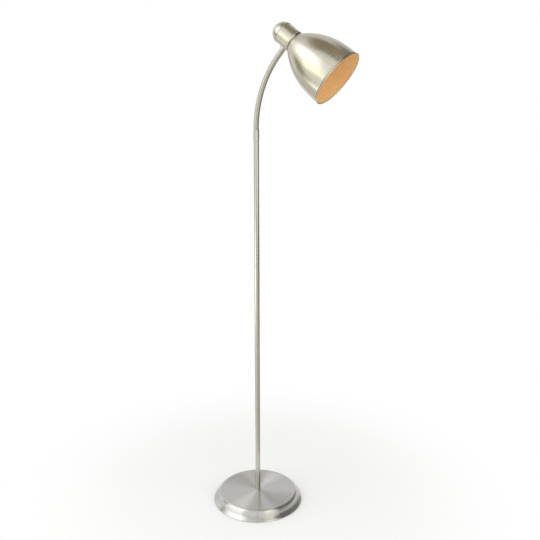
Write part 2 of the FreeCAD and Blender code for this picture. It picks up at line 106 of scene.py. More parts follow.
def pressed_felt():
    """Pressed wool felt: matted short fibres give a dull, slightly mottled black."""
    material, tree = new_material("pressed_felt")
    fibre_length = 0.0012
    place = add_node(tree, "ShaderNodeTexCoord")
    matting = add_node(tree, "ShaderNodeTexNoise", {
        "Vector": place.outputs["Object"], "Scale": 1 / fibre_length, "Detail": 4, "Roughness": 0.7})
    colour = add_node(tree, "ShaderNodeValToRGB", {"Fac": matting.outputs["Fac"]})
    colour.color_ramp.elements[0].color = linear("#0E0E0F")
    colour.color_ramp.elements[1].color = linear("#2B2A2B")
    relief = add_node(tree, "ShaderNodeBump", {
        "Height": matting.outputs["Fac"], "Strength": 0.6, "Distance": 0.0004})
    finish_material(tree, add_node(tree, "ShaderNodeBsdfPrincipled", {
        "Base Color": colour.outputs["Color"], "Roughness": 0.95,
        "Sheen Weight": 0.3, "Normal": relief.outputs["Normal"]}))
    return material


def dress(node_names, material):
    """Gives CAD nodes that stay as they are a material of their own."""
    for name in node_names:
        frame["nodes"][name].data.materials.clear()
        frame["nodes"][name].data.materials.append(material)


dress(["floor_pad"], pressed_felt())


# ---- Weight ------------------------------------------------------------------------------
# A sand-cast iron disc with a thin coat of black paint, which fills the foot's cover
# and keeps the lamp upright.
def cast_iron():
    """Sand-cast iron, painted: the sand's grain stays as small lumps under the paint."""
    material, tree = new_material("painted_cast_iron")
    sand_grain = 0.0009
    place = add_node(tree, "ShaderNodeTexCoord")
    grain = add_node(tree, "ShaderNodeTexNoise", {
        "Vector": place.outputs["Object"], "Scale": 1 / sand_grain, "Detail": 3})
    colour = add_node(tree, "ShaderNodeValToRGB", {"Fac": grain.outputs["Fac"]})
    colour.color_ramp.elements[0].color = linear("#161617")
    colour.color_ramp.elements[1].color = linear("#3A3938")
    relief = add_node(tree, "ShaderNodeBump", {
        "Height": grain.outputs["Fac"], "Strength": 0.5, "Distance": 0.0003})
    finish_material(tree, add_node(tree, "ShaderNodeBsdfPrincipled", {
        "Base Color": colour.outputs["Color"], "Roughness": 0.6,
        "Normal": relief.outputs["Normal"]}))
    return material


dress(["base_weight"], cast_iron())


# ---- Stem, washers and nut ---------------------------------------------------------------
# Bright zinc-plated steel: a hollow threaded stem that draws the pole, the cover and the
# weight together, with a plain washer, a split lock washer and a hexagonal nut below.
def bright_zinc():
    """Zinc plate on turned steel: pale, slightly blue, with a faint cloudy bloom."""
    material, tree = new_material("bright_zinc")
    bloom_size = 0.004
    place = add_node(tree, "ShaderNodeTexCoord")
    bloom = add_node(tree, "ShaderNodeTexNoise", {
        "Vector": place.outputs["Object"], "Scale": 1 / bloom_size, "Detail": 2})
    colour = add_node(tree, "ShaderNodeValToRGB", {"Fac": bloom.outputs["Fac"]})
    colour.color_ramp.elements[0].color = linear("#AEB3BA")
    colour.color_ramp.elements[1].color = linear("#D3D6DA")
    roughness = add_node(tree, "ShaderNodeMapRange", {
        "Value": bloom.outputs["Fac"], "To Min": 0.22, "To Max": 0.38})
    finish_material(tree, add_node(tree, "ShaderNodeBsdfPrincipled", {
        "Base Color": colour.outputs["Color"], "Metallic": 1,
        "Roughness": roughness.outputs["Result"]}))
    return material


zinc = bright_zinc()
dress(["stem_nipple", "stem_washer", "stem_lock_washer", "stem_nut"], zinc)


# ---- Foot cover --------------------------------------------------------------------------
# Spun steel in satin nickel: a flat plate inside a fine groove, a round shoulder, a steep
# wall, one small step, and a skirt that flares to the floor. Brush marks run round the pole.
def rounded_outline(corners, closed=True):
    """Points of an outline given as (radius, height, rounding), with an arc at each corner.

    Beside each arc stands one more point, so that the flat next to it keeps its shading."""
    arc_steps = 6
    beside = 0.0002
    points = []
    for index, (radius, height, rounding) in enumerate(corners):
        corner = Vector((radius, height))
        at_end = not closed and index in (0, len(corners) - 1)
        if at_end or rounding == 0:
            points.append(corner)
            continue
        before = Vector(corners[index - 1][:2]) - corner
        after = Vector(corners[(index + 1) % len(corners)][:2]) - corner
        half_angle = before.angle(after) / 2
        cut = rounding / math.tan(half_angle)
        middle = (before.normalized() + after.normalized()).normalized()
        centre = corner + middle * (rounding / math.sin(half_angle))
        start = corner + before.normalized() * cut - centre
        end = corner + after.normalized() * cut - centre
        points.append(centre + start + before.normalized() * beside)
        for step in range(arc_steps + 1):
            points.append(centre + start.normalized().slerp(end.normalized(), step / arc_steps) * rounding)
        points.append(centre + end + after.normalized() * beside)
    return [(point.x, point.y) for point in points]


def turned_mesh(name, outline, placement=Matrix.Identity(4), closed=True, segments=192):
    """A mesh turned about the local Z axis from (radius, height) points, outward faces first.

    Its UV map has the distance along the outline as U and the turn as V, for the brush marks."""
    on_axis = 1e-6
    vertices = []
    rings = []
    for radius, height in outline:
        count = 1 if radius < on_axis else segments
        rings.append(range(len(vertices), len(vertices) + count))
        for step in range(count):
            turn = 2 * math.pi * step / segments
            vertices.append(placement @ Vector((radius * math.cos(turn), radius * math.sin(turn), height)))
    spans = [(index, index + 1) for index in range(len(outline) - 1)]
    if closed:
        spans.append((len(outline) - 1, 0))
    faces = []
    places = []
    distance = 0
    for low, high in spans:
        length = (Vector(outline[high]) - Vector(outline[low])).length
        for step in range(segments):
            following = (step + 1) % segments
            corners = [
                (rings[low][step % len(rings[low])], distance, step),
                (rings[low][following % len(rings[low])], distance, step + 1),
                (rings[high][following % len(rings[high])], distance + length, step + 1),
                (rings[high][step % len(rings[high])], distance + length, step),
            ]
            kept = [c for i, c in enumerate(corners) if c[0] not in [d[0] for d in corners[:i]]]
            if len(kept) > 2:
                faces.append([vertex for vertex, _, _ in kept])
                places += [(along, turn / segments) for _, along, turn in kept]
        distance += length
    mesh = bpy.data.meshes.new(name)
    mesh.from_pydata(vertices, [], faces)
    layer = mesh.uv_layers.new(name="brushing")
    for loop, place in zip(layer.data, places):
        loop.uv = place
    mesh.shade_smooth()
    return mesh


def add_piece(name, mesh, body, nodes, materials):
    """Puts a mesh in the scene as a piece that rides on a body and stands for CAD nodes."""
    piece = bpy.data.objects.new(name, mesh)
    bpy.context.scene.collection.objects.link(piece)
    for material in materials:
        mesh.materials.append(material)
    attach(piece, body)
    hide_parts(*nodes)
    return piece


def satin_nickel(name, pale, deep, roughness, spread, mark_spacing=0.0016):
    """Satin nickel plate on spun steel: fine brush marks run round the axis, so that each
    light draws a long streak across them. Real marks are under 0.1 mm apart, and are drawn
    coarser here so that they show."""
    material, tree = new_material(name)
    marks_per_turn = 9
    smudges_per_metre = 28
    polish_spread = 0.04
    unwrapped = add_node(tree, "ShaderNodeUVMap", uv_map="brushing")
    stretched = add_node(tree, "ShaderNodeVectorMath", {
        0: unwrapped.outputs["UV"], 1: (1 / mark_spacing, marks_per_turn, 1)}, operation="MULTIPLY")
    marks = add_node(tree, "ShaderNodeTexNoise", {
        "Vector": stretched.outputs["Vector"], "Scale": 1, "Detail": 3, "Roughness": 0.6})
    place = add_node(tree, "ShaderNodeTexCoord")
    handling = add_node(tree, "ShaderNodeTexNoise", {
        "Vector": place.outputs["Object"], "Scale": smudges_per_metre, "Detail": 2})
    mixed = add_node(tree, "ShaderNodeMath", {
        0: marks.outputs["Fac"], 1: handling.outputs["Fac"]}, operation="ADD")
    colour = add_node(tree, "ShaderNodeValToRGB", {"Fac": marks.outputs["Fac"]})
    colour.color_ramp.elements[0].position = 0.3
    colour.color_ramp.elements[0].color = linear(deep)
    colour.color_ramp.elements[1].position = 0.7
    colour.color_ramp.elements[1].color = linear(pale)
    polish = add_node(tree, "ShaderNodeMapRange", {
        "Value": mixed.outputs["Value"], "From Min": 0.6, "From Max": 1.4,
        "To Min": roughness - polish_spread, "To Max": roughness + polish_spread})
    relief = add_node(tree, "ShaderNodeBump", {
        "Height": marks.outputs["Fac"], "Strength": 0.12, "Distance": 0.00005})
    across_marks = add_node(tree, "ShaderNodeTangent", direction_type="UV_MAP", uv_map="brushing")
    finish_material(tree, add_node(tree, "ShaderNodeBsdfPrincipled", {
        "Base Color": colour.outputs["Color"], "Metallic": 1,
        "Roughness": polish.outputs["Result"], "Anisotropic": spread,
        "Tangent": across_marks.outputs["Tangent"], "Normal": relief.outputs["Normal"]}))
    return material


def round_stretch(start, middle, end, steps=14):
    """Points of the arc through three (radius, height) points."""
    start, middle, end = Vector(start), Vector(middle), Vector(end)
    first = middle - start
    second = end - start
    twice_area = 2 * (first.x * second.y - first.y * second.x)
    centre = start + Vector((
        second.y * first.length_squared - first.y * second.length_squared,
        first.x * second.length_squared - second.x * first.length_squared)) / twice_area
    radius = (start - centre).length
    points = []
    for step in range(steps + 1):
        spoke = (start - centre).normalized().slerp((end - centre).normalized(), step / steps)
        points.append(tuple(centre + spoke * radius))
    return points


plate_nickel = satin_nickel("plate_satin_nickel", "#D8D7D4", "#CDCCC9", roughness=0.34, spread=1)
# The wall's colours, a little darker than the plate's on the same spun sheet, are painted shade.
wall_nickel_painted_shade = satin_nickel("wall_satin_nickel", "#D2D1CE", "#C6C5C2", roughness=0.24, spread=1)
cover_low, cover_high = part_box("base_cover")
foot_radius = cover_high.x
plate_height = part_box("pole_lower")[0].z
skirt_bottom = cover_low.z
plate_radius = 0.0925
groove_width = 0.0016
groove_depth = 0.0004
shoulder_middle = (0.099, plate_height - 0.0015)
shoulder_foot = (0.1026, plate_height - 0.0058)
step_radius = 0.105
step_height = 0.0102
step_ledge = 0.0014
step_slope = 0.0001
skirt_edge = 0.0008
flare_rounding = 0.0012
ledge_foot_rounding = 0.0006
ledge_rounding = 0.0007
inner_rounding = 0.0005
beside_groove = 0.0003
beside_hole = 0.0006
cover_wall = 0.001
stem_hole_radius = 0.0052
inner_shoulder_middle = (0.0984, plate_height - 0.0024)
inner_shoulder_foot = (0.1016, plate_height - 0.0062)
inner_step_wall = 0.0014
inner_step_drop = 0.0022
inner_flare_wall = 0.0026
inner_flare_height = 0.0028
inner_flare_rounding = 0.001
skirt_wall = 0.0013
lower_outline = rounded_outline([
    (foot_radius, skirt_bottom, 0),
    (foot_radius, skirt_bottom + skirt_edge, skirt_edge),
    (foot_radius - step_ledge, skirt_bottom + 2 * step_ledge, flare_rounding),
    (step_radius + 1.4 * step_ledge, step_height - step_ledge, ledge_foot_rounding),
    (step_radius + 0.9 * step_ledge, step_height, ledge_rounding),
    (step_radius, step_height + step_slope, inner_rounding),
    (*shoulder_foot, 0),
], closed=False)
plate_outline = [
    (plate_radius - groove_width / 2, plate_height - groove_depth),
    (plate_radius - groove_width, plate_height),
    (plate_radius - groove_width - beside_groove, plate_height),
    (stem_hole_radius + beside_hole, plate_height),
    (stem_hole_radius, plate_height),
    (stem_hole_radius, plate_height - cover_wall),
]
inner_outline = rounded_outline([
    (*inner_shoulder_foot, 0),
    (step_radius - inner_step_wall, step_height - inner_rounding, inner_rounding),
    (step_radius, step_height - inner_step_drop, inner_rounding),
    (foot_radius - inner_flare_wall, skirt_bottom + inner_flare_height, inner_flare_rounding),
    (foot_radius - skirt_wall, skirt_bottom, 0),
], closed=False)
outer_shoulder = round_stretch(shoulder_foot, shoulder_middle, (plate_radius, plate_height))
inner_shoulder = round_stretch(
    (plate_radius, plate_height - cover_wall), inner_shoulder_middle, inner_shoulder_foot)
cover_outline = lower_outline[:-1] + outer_shoulder + plate_outline + inner_shoulder + inner_outline[1:]
cover_segments = 256
cover_mesh = turned_mesh("foot_cover", cover_outline, segments=cover_segments)
add_piece("foot_cover", cover_mesh, "stand", ["base_cover"], [wall_nickel_painted_shade, plate_nickel])
plate_start = len(lower_outline) - 1 + len(outer_shoulder)
plate_end = plate_start + len(plate_outline)
for face in cover_mesh.polygons:
    face.material_index = 1 if plate_start <= face.index // cover_segments < plate_end else 0


# ---- Grommet -----------------------------------------------------------------------------
# A bush of moulded black rubber in the back of the skirt, which lines the lead's way out.
def moulded_rubber():
    """Moulded rubber: a dull black with the mould's fine sparked texture."""
    material, tree = new_material("moulded_rubber")
    spark_size = 0.0005
    place = add_node(tree, "ShaderNodeTexCoord")
    sparks = add_node(tree, "ShaderNodeTexNoise", {
        "Vector": place.outputs["Object"], "Scale": 1 / spark_size, "Detail": 2})
    colour = add_node(tree, "ShaderNodeValToRGB", {"Fac": sparks.outputs["Fac"]})
    colour.color_ramp.elements[0].color = linear("#111111")
    colour.color_ramp.elements[1].color = linear("#262626")
    relief = add_node(tree, "ShaderNodeBump", {
        "Height": sparks.outputs["Fac"], "Strength": 0.3, "Distance": 0.0001})
    finish_material(tree, add_node(tree, "ShaderNodeBsdfPrincipled", {
        "Base Color": colour.outputs["Color"], "Roughness": 0.7,
        "Normal": relief.outputs["Normal"]}))
    return material


dress(["cord_grommet"], moulded_rubber())


# ---- Pole --------------------------------------------------------------------------------
# Three lengths of satin nickel steel tube, screwed end to end on hollow couplings.
# Lightly broken edges leave a thin dark seam at each joint.
dress(["pole_coupling_lower", "pole_coupling_upper"], zinc)
# The olive-cream tint, warmer than the foot's neutral nickel on the same plating, is painted warm light.
pole_nickel_painted_warm_light = satin_nickel("pole_satin_nickel", "#CFCDC4", "#C6C4BA", roughness=0.24, spread=0.35)
tube_bore_radius = 0.005
broken_edge = 0.00035
seam_depth = 0.0006
seam_rounding = 0.0003
for section in ("pole_lower", "pole_middle", "pole_upper"):
    low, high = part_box(section)
    tube_outline = rounded_outline([
        (tube_bore_radius, low.z, 0),
        (high.x - seam_depth, low.z, 0),
        (high.x, low.z + broken_edge, seam_rounding),
        (high.x, high.z - broken_edge, seam_rounding),
        (high.x - seam_depth, high.z, 0),
        (tube_bore_radius, high.z, 0),
    ])
    add_piece(section + "_tube", turned_mesh(section + "_tube", tube_outline, segments=64),
              "stand", [section], [pole_nickel_painted_warm_light])


# ---- Ferrule -----------------------------------------------------------------------------
# A turned sleeve, a hair wider than the pole, screwed into its top. The gooseneck's foot is
# pressed into it.
ferrule_low, ferrule_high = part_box("neck_ferrule")
ferrule_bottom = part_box("pole_upper")[1].z
ferrule_top = ferrule_high.z
ferrule_bore_radius = 0.0035
hose_socket_radius = 0.0046
hose_socket_depth = 0.01
lower_edge = 0.0004
upper_edge = 0.0006
upper_edge_in = 0.0008
ferrule_outline = rounded_outline([
    (ferrule_bore_radius, ferrule_low.z, 0),
    (tube_bore_radius, ferrule_low.z, 0),
    (tube_bore_radius, ferrule_bottom, 0),
    (ferrule_high.x - seam_depth, ferrule_bottom, 0),
    (ferrule_high.x, ferrule_bottom + lower_edge, lower_edge),
    (ferrule_high.x, ferrule_top - upper_edge, upper_edge),
    (ferrule_high.x - upper_edge_in, ferrule_top, 0),
    (hose_socket_radius, ferrule_top, 0),
    (hose_socket_radius, ferrule_top - hose_socket_depth, 0),
    (ferrule_bore_radius, ferrule_top - hose_socket_depth, 0),
])
add_piece("ferrule", turned_mesh("ferrule", ferrule_outline, segments=64),
          "stand", ["neck_ferrule"], [pole_nickel_painted_warm_light])


# ---- Gooseneck ---------------------------------------------------------------------------
# A hose wound from steel strip, nickel plated: its turns stand out as fine ribs that climb
# round it, and slide a little on each other when it bends.
neck_line = bpy.data.curves.new("neck_line", "CURVE")
neck_line.dimensions = "3D"
neck_line.resolution_u = 24
pivots = [Vector(joint["pos_m"]) for joint in frame["joints"]]
head_lean = math.radians(34.3)
toward_head = Vector((math.sin(head_lean), 0, math.cos(head_lean)))
end_length = pivots[0].z - ferrule_top
neck_points = [Vector((0, 0, ferrule_top))] + pivots + [pivots[-1] + toward_head * end_length]
spline = neck_line.splines.new("BEZIER")
spline.bezier_points.add(len(neck_points) - 1)
for knot, point in zip(spline.bezier_points, neck_points):
    knot.co = point
    knot.handle_left_type = "AUTO"
    knot.handle_right_type = "AUTO"
neck_object = bpy.data.objects.new("neck_line", neck_line)
bpy.context.scene.collection.objects.link(neck_object)
neck_length = spline.calc_length()


def wound_hose_tree():
    """Geometry Nodes tree that winds one stretch of the hose along the curve it is given."""
    tree = bpy.data.node_groups.new("wound_hose", "GeometryNodeTree")
    face = tree.interface
    face.new_socket("Curve", in_out="INPUT", socket_type="NodeSocketGeometry")
    for name in ("From", "To", "Rib pitch", "Crest radius", "Groove radius"):
        face.new_socket(name, in_out="INPUT", socket_type="NodeSocketFloat")
    face.new_socket("Points along", in_out="INPUT", socket_type="NodeSocketInt")
    face.new_socket("Points round", in_out="INPUT", socket_type="NodeSocketInt")
    face.new_socket("Material", in_out="INPUT", socket_type="NodeSocketMaterial")
    face.new_socket("Hose", in_out="OUTPUT", socket_type="NodeSocketGeometry")
    given = add_node(tree, "NodeGroupInput").outputs
    crest_flatness = 3
    seam_gap = 0.000002

    def calculate(operation, *values):
        inputs = dict(enumerate(values))
        return add_node(tree, "ShaderNodeMath", inputs, operation=operation).outputs[0]

    sheet = add_node(tree, "GeometryNodeMeshGrid", {
        "Size X": 1, "Size Y": 1, "Vertices X": given["Points along"], "Vertices Y": given["Points round"]})
    on_sheet = add_node(tree, "GeometryNodeInputPosition")
    place = add_node(tree, "ShaderNodeSeparateXYZ", {0: on_sheet.outputs[0]})
    along = calculate("ADD", place.outputs["X"], 0.5)
    turn = calculate("ADD", place.outputs["Y"], 0.5)
    stretch = calculate("SUBTRACT", given["To"], given["From"])
    length = calculate("MULTIPLY_ADD", along, stretch, given["From"])
    turns = calculate("SUBTRACT", calculate("DIVIDE", length, given["Rib pitch"]), turn)
    across_rib = calculate("ABSOLUTE", calculate("MULTIPLY_ADD", calculate("FRACT", turns), 2, -1))
    crest = calculate("SUBTRACT", 1, calculate("POWER", across_rib, crest_flatness))
    height = calculate("SUBTRACT", given["Crest radius"], given["Groove radius"])
    radius = calculate("MULTIPLY_ADD", crest, height, given["Groove radius"])
    angle = calculate("MULTIPLY", turn, 2 * math.pi)
    line = add_node(tree, "GeometryNodeSampleCurve", {
        "Curves": given["Curve"], "Length": length}, mode="LENGTH")
    sideways = (0, 1, 0)
    inward = add_node(tree, "ShaderNodeVectorMath", {
        0: line.outputs["Tangent"], 1: sideways}, operation="CROSS_PRODUCT")
    side_part = add_node(tree, "ShaderNodeVectorMath", {
        0: sideways, "Scale": calculate("MULTIPLY", radius, calculate("SINE", angle))}, operation="SCALE")
    inward_part = add_node(tree, "ShaderNodeVectorMath", {
        0: inward.outputs["Vector"], "Scale": calculate("MULTIPLY", radius, calculate("COSINE", angle))},
        operation="SCALE")
    offset = add_node(tree, "ShaderNodeVectorMath", {
        0: side_part.outputs["Vector"], 1: inward_part.outputs["Vector"]}, operation="ADD")
    position = add_node(tree, "ShaderNodeVectorMath", {
        0: line.outputs["Position"], 1: offset.outputs["Vector"]}, operation="ADD")
    unwrapped = add_node(tree, "ShaderNodeCombineXYZ", {"X": length, "Y": turn})
    mapped = add_node(tree, "GeometryNodeStoreNamedAttribute", {
        "Geometry": sheet.outputs["Mesh"], "Name": "brushing", "Value": unwrapped.outputs[0]},
        data_type="FLOAT2", domain="CORNER")
    wrapped = add_node(tree, "GeometryNodeSetPosition", {
        "Geometry": mapped.outputs[0], "Position": position.outputs["Vector"]})
    joined = add_node(tree, "GeometryNodeMergeByDistance", {
        "Geometry": wrapped.outputs[0], "Distance": seam_gap})
    smooth = add_node(tree, "GeometryNodeSetShadeSmooth", {"Geometry": joined.outputs[0]})
    real = add_node(tree, "GeometryNodeRealizeInstances", {"Geometry": smooth.outputs[0]})
    plated = add_node(tree, "GeometryNodeSetMaterial", {
        "Geometry": real.outputs[0], "Material": given["Material"]})
    add_node(tree, "NodeGroupOutput", {"Hose": plated.outputs[0]})
    return tree


def set_input(modifier, name, value):
    """Sets a Geometry Nodes input by the identifier of the socket with this name."""
    sockets = modifier.node_group.interface.items_tree
    identifier = next(item.identifier for item in sockets if item.name == name)
    modifier[identifier] = value


# The hose's colours, darker and warmer than the foot's nickel on the same plating, are painted shade and
# painted warm light.
neck_nickel_painted_shade_and_warm_light = satin_nickel("neck_satin_nickel", "#C2BFB4", "#B2AFA4", roughness=0.24, spread=0.2)
hose_tree = wound_hose_tree()
rib_pitch = 0.0042
crest_radius = 0.00625
groove_radius = 0.00565
points_per_rib = 12
points_round = 65
bodies_in_chain = ["stand"] + [joint["child"] for joint in frame["joints"]]
neck_nodes = ["neck_root"] + bodies_in_chain[1:-1] + ["neck_end"]
link_length = (pivots[1] - pivots[0]).length
for index in range(len(pivots)):
    start = 0 if index == 0 else end_length + link_length * (index - 0.5)
    end = neck_length if index == len(pivots) - 1 else end_length + link_length * (index + 0.5)
    winder = neck_object.modifiers.new("winding", "NODES")
    winder.node_group = hose_tree
    set_input(winder, "From", start)
    set_input(winder, "To", end)
    set_input(winder, "Rib pitch", rib_pitch)
    set_input(winder, "Crest radius", crest_radius)
    set_input(winder, "Groove radius", groove_radius)
    set_input(winder, "Points along", round((end - start) / rib_pitch * points_per_rib) + 1)
    set_input(winder, "Points round", points_round)
    set_input(winder, "Material", neck_nickel_painted_shade_and_warm_light)
    wound = neck_object.evaluated_get(bpy.context.evaluated_depsgraph_get())
    stretch_mesh = bpy.data.meshes.new_from_object(wound)
    neck_object.modifiers.remove(winder)
    stretch_mesh.name = f"neck_stretch_{index + 1:02d}"
    stretch = bpy.data.objects.new(stretch_mesh.name, stretch_mesh)
    bpy.context.scene.collection.objects.link(stretch)
    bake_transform(stretch)
    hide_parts(neck_nodes[index], neck_nodes[index + 1])
bpy.data.objects.remove(neck_object)


# ---- Seat of the gooseneck ---------------------------------------------------------------
# A small round seat in satin nickel between the hose and the collar, hollowed to the
# collar's side. A zinc-plated nut inside the collar pulls it tight.
def plain_nickel():
    """Satin nickel on a small turned piece: the marks are too fine to tell apart."""
    material, tree = new_material("seat_satin_nickel")
    mark_spacing = 0.0008
    place = add_node(tree, "ShaderNodeTexCoord")
    marks = add_node(tree, "ShaderNodeTexNoise", {
        "Vector": place.outputs["Object"], "Scale": 1 / mark_spacing, "Detail": 2})
    colour = add_node(tree, "ShaderNodeValToRGB", {"Fac": marks.outputs["Fac"]})
    # These warm colours, on the same nickel plating as the neutral foot, are painted warm light.
    colour.color_ramp.elements[0].color = linear("#C4C0B2")
    colour.color_ramp.elements[1].color = linear("#D2CFC3")
    finish_material(tree, add_node(tree, "ShaderNodeBsdfPrincipled", {
        "Base Color": colour.outputs["Color"], "Metallic": 1, "Roughness": 0.28}))
    return material


dress(["neck_saddle"], plain_nickel())
dress(["neck_lock_nut"], zinc)


# ---- Collar ------------------------------------------------------------------------------
# A drawn steel cup in satin nickel, open toward the dome. A bulkhead across its front
# holds the lampholder.
# The warm cream tint, on the same plating as the foot's neutral nickel, is painted warm light.
head_nickel_painted_warm_light = satin_nickel("head_satin_nickel", "#D2CDBE", "#C7C2B2", roughness=0.27, spread=0.6)
collar_radius = 0.0245
saddle_height = 0.0029
collar_back = -0.0195
collar_front = 0.0095
sheet_wall = 0.0009
bulkhead_thickness = 0.0012
holder_hole_radius = 0.02
collar_back_rounding = 0.0003
collar_front_rounding = 0.0006
head_centre = pivots[-1] + toward_head * (end_length + saddle_height + collar_radius)
shade_axis = Vector((math.cos(head_lean), 0, -math.sin(head_lean)))
sideways = shade_axis.cross(toward_head)
on_head = Matrix.Translation(head_centre) @ Matrix((toward_head, sideways, shade_axis)).transposed().to_4x4()
collar_inside = collar_radius - sheet_wall
collar_outline = rounded_outline([
    (collar_radius, collar_back, collar_back_rounding),
    (collar_inside, collar_back, 0),
    (collar_inside, collar_front - bulkhead_thickness, 0),
    (holder_hole_radius, collar_front - bulkhead_thickness, 0),
    (holder_hole_radius, collar_front, 0),
    (collar_radius, collar_front, collar_front_rounding),
])
add_piece("collar", turned_mesh("collar", collar_outline[::-1], on_head), "head",
          ["head_collar"], [head_nickel_painted_warm_light])


# ---- Dome cap ----------------------------------------------------------------------------
# A spun dome in satin nickel with a small lip, pushed into the back of the collar.
dome_radius = 0.0246
dome_height = 0.0207
lip_radius = 0.0252
lip_thickness = 0.0013
spigot_radius = 0.0235
spigot_length = 0.005
lip_step = 0.0001
lip_rounding = 0.0004
inner_dome_depth = 0.008
inner_dome_rounding = 0.004
dome_steps = 28
dome_edge = collar_back - lip_thickness
dome_sphere = (dome_radius**2 + dome_height**2) / (2 * dome_height)
dome_centre = dome_edge - dome_height + dome_sphere
dome_outline = []
for step in range(dome_steps + 1):
    lean = math.asin(dome_radius / dome_sphere) * step / dome_steps
    dome_outline.append((dome_sphere * math.sin(lean), dome_centre - dome_sphere * math.cos(lean)))
dome_outline += rounded_outline([
    (dome_radius + lip_step, dome_edge, 0),
    (lip_radius, dome_edge, lip_rounding),
    (lip_radius, collar_back, lip_rounding),
    (spigot_radius, collar_back, 0),
    (spigot_radius, collar_back + spigot_length, 0),
    (spigot_radius - sheet_wall, collar_back + spigot_length, 0),
    (spigot_radius - sheet_wall, dome_edge - inner_dome_depth, inner_dome_rounding),
    (0, dome_edge - dome_height + sheet_wall, 0),
], closed=False)
add_piece("dome", turned_mesh("dome", dome_outline, on_head, closed=False), "head",
          ["dome_cap"], [head_nickel_painted_warm_light])


# ---- Trim ring ---------------------------------------------------------------------------
# A beaded spacer ring, turned, between collar and shade; the real one is polished a little brighter, and it
# is drawn here in the head's nickel.
trim_thickness = 0.005
trim_edge_radius = 0.0243
trim_radius = 0.0254
trim_steps = 12
shade_back = collar_front + trim_thickness
trim_outline = [(holder_hole_radius, shade_back), (holder_hole_radius, collar_front)]
for step in range(trim_steps + 1):
    share = step / trim_steps
    bulge = (trim_radius - trim_edge_radius) * math.sin(math.pi * share)
    trim_outline.append((trim_edge_radius + bulge, collar_front + trim_thickness * share))
add_piece("trim_bead", turned_mesh("trim_bead", trim_outline, on_head), "head",
          ["trim_ring"], [head_nickel_painted_warm_light])


# ---- Bell shade --------------------------------------------------------------------------
# Spun from one steel disc: satin nickel outside, with a rim rolled over a wire, and a coat
# of copper lacquer inside that warms the light.
def copper_lacquer():
    """Copper-coloured metallic lacquer, sprayed: fine flakes in a clear, half-matt coat."""
    material, tree = new_material("copper_lacquer")
    flake_size = 0.0006
    place = add_node(tree, "ShaderNodeTexCoord")
    flakes = add_node(tree, "ShaderNodeTexNoise", {
        "Vector": place.outputs["Object"], "Scale": 1 / flake_size, "Detail": 1})
    colour = add_node(tree, "ShaderNodeValToRGB", {"Fac": flakes.outputs["Fac"]})
    colour.color_ramp.elements[0].color = linear("#EDC48B")
    colour.color_ramp.elements[1].color = linear("#F4CF98")
    finish_material(tree, add_node(tree, "ShaderNodeBsdfPrincipled", {
        "Base Color": colour.outputs["Color"], "Metallic": 0.15, "Roughness": 0.5,
        "Coat Weight": 0.15, "Coat Roughness": 0.35}))
    return material


shade_wall = 0.0008
shade_virtual_start = 0.01025
shade_virtual_radius = 0.0185
shade_end = 0.1426
shade_end_radius = 0.0666
shade_power = 2.6
shade_steps = 48
shade_crowding = 1.3
shade_segments = 224
neck_edge = 0.0002
bead_radius = 0.0014
bead_centre_radius = 0.0667
bead_centre = 0.1435
bead_steps = 14


def bell_radius(height):
    """Outer radius of the bell, the same curve as its solid has."""
    share = (height - shade_virtual_start) / (shade_end - shade_virtual_start)
    return shade_virtual_radius + (shade_end_radius - shade_virtual_radius) * (1 - (1 - share) ** shade_power)


def bell_slope(height):
    """Growth of the bell's radius along its axis."""
    share = (height - shade_virtual_start) / (shade_end - shade_virtual_start)
    spread = (shade_end_radius - shade_virtual_radius) / (shade_end - shade_virtual_start)
    return spread * shade_power * (1 - share) ** (shade_power - 1)


outer_wall = []
inner_wall = []
for step in range(shade_steps + 1):
    height = shade_back + (shade_end - shade_back) * min((step / shade_steps) ** shade_crowding, 1)
    slope = bell_slope(height)
    lean = math.hypot(1, slope)
    outer_wall.append((bell_radius(height), height))
    inner_wall.append((bell_radius(height) - shade_wall / lean, height + shade_wall * slope / lean))
bead = []
first_turn = math.radians(-100)
last_turn = math.radians(160)
for step in range(bead_steps + 1):
    turn = first_turn + (last_turn - first_turn) * step / bead_steps
    out = bead_radius * math.cos(turn)
    forward = bead_radius * math.sin(turn)
    bead.append((bead_centre_radius + out, bead_centre + forward))
neck_front = [(inner_wall[0][0] - neck_edge, inner_wall[0][1]), (holder_hole_radius, shade_back + shade_wall)]
neck_back = [(holder_hole_radius, shade_back), (outer_wall[0][0] - neck_edge, shade_back)]
inner_side = inner_wall[::-1] + neck_front
shade_outline = neck_back + outer_wall + bead + inner_side
shade_mesh = turned_mesh("shade", shade_outline, on_head, segments=shade_segments)
add_piece("shade", shade_mesh, "head", ["bell_shade"], [head_nickel_painted_warm_light, copper_lacquer()])
outside_spans = len(shade_outline) - len(inner_side)
for face in shade_mesh.polygons:
    face.material_index = 1 if face.index // shade_segments >= outside_spans - 1 else 0


# ---- Lampholder --------------------------------------------------------------------------
# Moulded black phenolic, with its terminal cover behind and a notched ring in front that
# clamps the shade. Inside are a brass screw shell, a sprung contact and terminal screws.
def black_moulding():
    """Moulded phenolic: near-black with a soft, slightly uneven gloss."""
    material, tree = new_material("black_phenolic")
    flow_size = 0.006
    place = add_node(tree, "ShaderNodeTexCoord")
    flow = add_node(tree, "ShaderNodeTexNoise", {
        "Vector": place.outputs["Object"], "Scale": 1 / flow_size, "Detail": 3})
    colour = add_node(tree, "ShaderNodeValToRGB", {"Fac": flow.outputs["Fac"]})
    colour.color_ramp.elements[0].color = linear("#121213")
    colour.color_ramp.elements[1].color = linear("#1E1D1D")
    gloss = add_node(tree, "ShaderNodeMapRange", {
        "Value": flow.outputs["Fac"], "To Min": 0.28, "To Max": 0.45})
    finish_material(tree, add_node(tree, "ShaderNodeBsdfPrincipled", {
        "Base Color": colour.outputs["Color"], "Roughness": gloss.outputs["Result"], "IOR": 1.6}))
    return material


